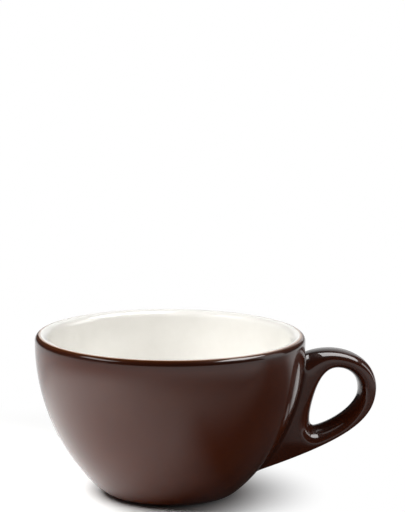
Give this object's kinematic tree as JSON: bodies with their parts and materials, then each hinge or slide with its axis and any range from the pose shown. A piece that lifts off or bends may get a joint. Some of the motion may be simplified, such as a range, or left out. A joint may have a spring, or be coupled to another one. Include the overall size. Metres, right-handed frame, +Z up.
{
  "type": "cappuccino cup",
  "caption": "Wide bowl-shaped porcelain coffee cup with a thick wall, a rounded lip, a small foot and a loop handle, glazed brown outside and white inside.",
  "frame": {"origin": "on the table, in the middle of the cup's whole length over bowl and handle", "axes": "+X from the bowl towards the handle, +Z up from the foot to the lip, +Y to the left of the handle's plane seen from the handle's root outwards"},
  "size_m": [0.1276, 0.1, 0.06],
  "materials": {
    "porcelain": "fired, unglazed, fine matt",
    "slip": "fired luting slip, matt",
    "white_glaze": "gloss glaze",
    "brown_glaze": "gloss glaze, redder where it thins"
  },
  "bodies": {
    "root": {"bowl": "porcelain", "handle": "porcelain", "handle_slip": "slip", "inner_glaze": "white_glaze", "outer_glaze": "brown_glaze", "handle_glaze": "brown_glaze", "base_glaze": "brown_glaze"}
  },
  "joints": []
}
